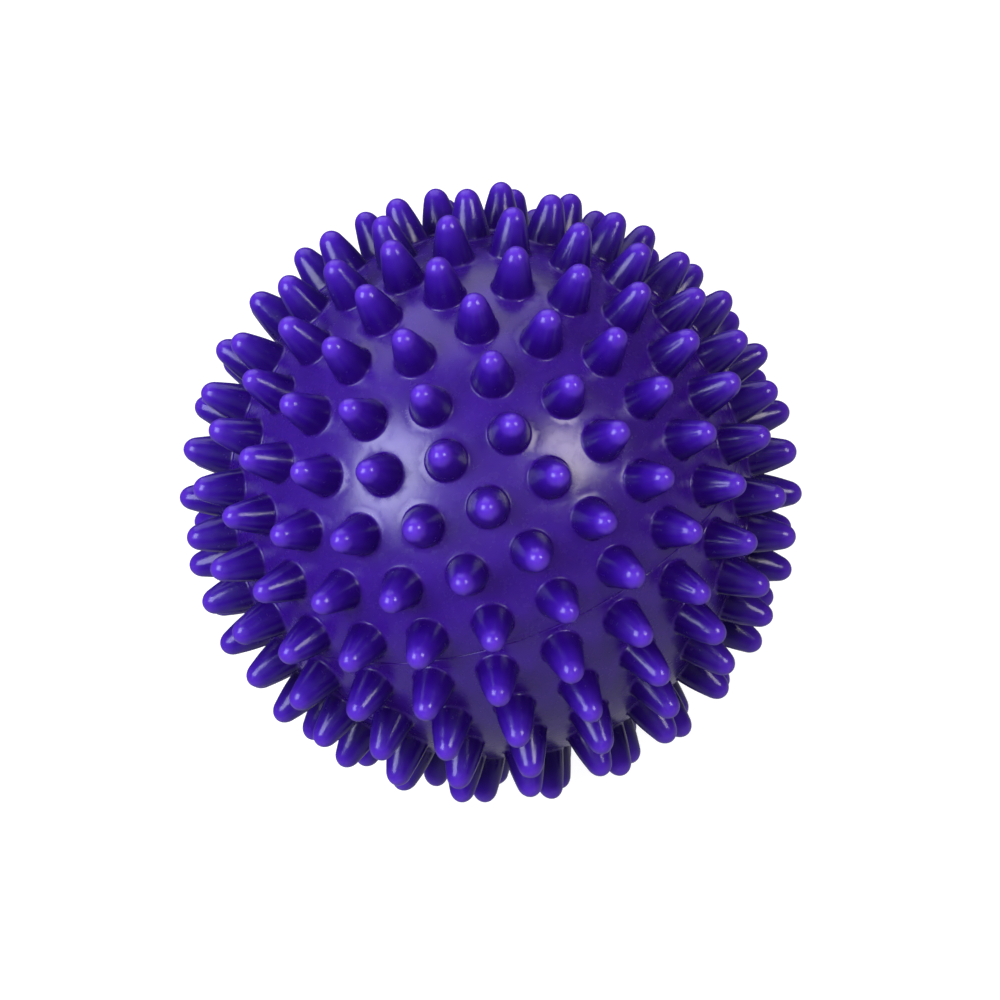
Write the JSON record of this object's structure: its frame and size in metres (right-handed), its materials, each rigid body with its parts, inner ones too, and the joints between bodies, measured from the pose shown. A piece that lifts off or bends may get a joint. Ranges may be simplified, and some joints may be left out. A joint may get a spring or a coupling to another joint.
{
  "type": "massage ball",
  "caption": "Hollow spiked ball for rolling massage, made of soft half shells with an air valve and a pull-out plug at the lower pole.",
  "frame": {"origin": "the centre of the ball, in the plane of the parting line", "axes": "+Z from the valve to the opposite pole, square to the plane of the parting line; -Y is the front"},
  "size_m": [0.0746, 0.0748, 0.0744],
  "materials": {
    "skin": "soft violet PVC, satin between the spikes and glossy on them, slightly translucent",
    "valve": "softer violet PVC, a little darker than the skin"
  },
  "bodies": {
    "ball": {"upper_shell": "skin", "lower_shell": "skin", "valve_sleeve": "valve"},
    "plug": {"valve_plug": "valve"}
  },
  "joints": [
    {"name": "plug_pull", "type": "slide", "parent": "ball", "child": "plug", "axis": [0, 0, -1], "range_m": [0, 0.014]}
  ]
}
